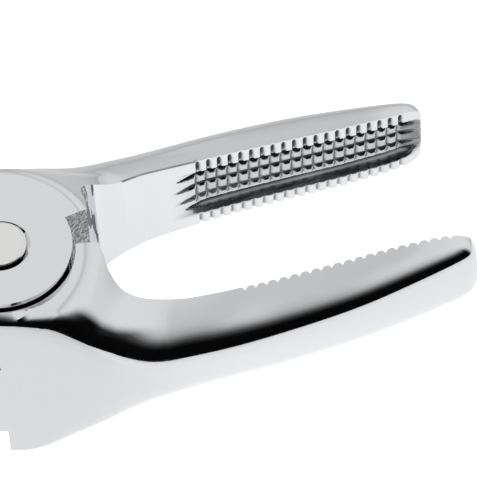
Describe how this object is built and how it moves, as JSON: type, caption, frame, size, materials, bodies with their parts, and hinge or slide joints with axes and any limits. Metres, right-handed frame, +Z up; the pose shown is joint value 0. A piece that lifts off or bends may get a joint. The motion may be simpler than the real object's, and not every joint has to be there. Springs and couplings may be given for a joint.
{
  "type": "nutcracker",
  "caption": "Plier-type nutcracker in polished chrome: two curved arms crossing in a riveted lap joint, with short toothed jaws and long rounded handles.",
  "frame": {"origin": "on the pivot axis, at the flat closed end of the rivet, which is the lowest point of the nutcracker lying flat", "axes": "+X towards the jaws along the line that halves them, +Z up along the pivot axis out of the rivet's head, +Y towards the front arm's jaw"},
  "size_m": [0.1533, 0.0734, 0.0246],
  "materials": {
    "polished_chrome": "polished chrome plate on a die casting, bright, with as-cast stop faces",
    "nickel_steel": "nickel-plated steel, polished head",
    "spacer_bronze": "plain bronze, satin"
  },
  "bodies": {
    "rear": {"rear_arm": "polished_chrome", "pivot_rivet": "nickel_steel", "rivet_washer": "nickel_steel", "spacer_washer": "spacer_bronze"},
    "front": {"front_arm": "polished_chrome"}
  },
  "joints": [
    {"name": "jaw_pivot", "type": "hinge", "parent": "rear", "child": "front", "pos_m": [0, 0, 0.0121], "axis": [0, 0, 1], "range_deg": [-20, 16]}
  ]
}
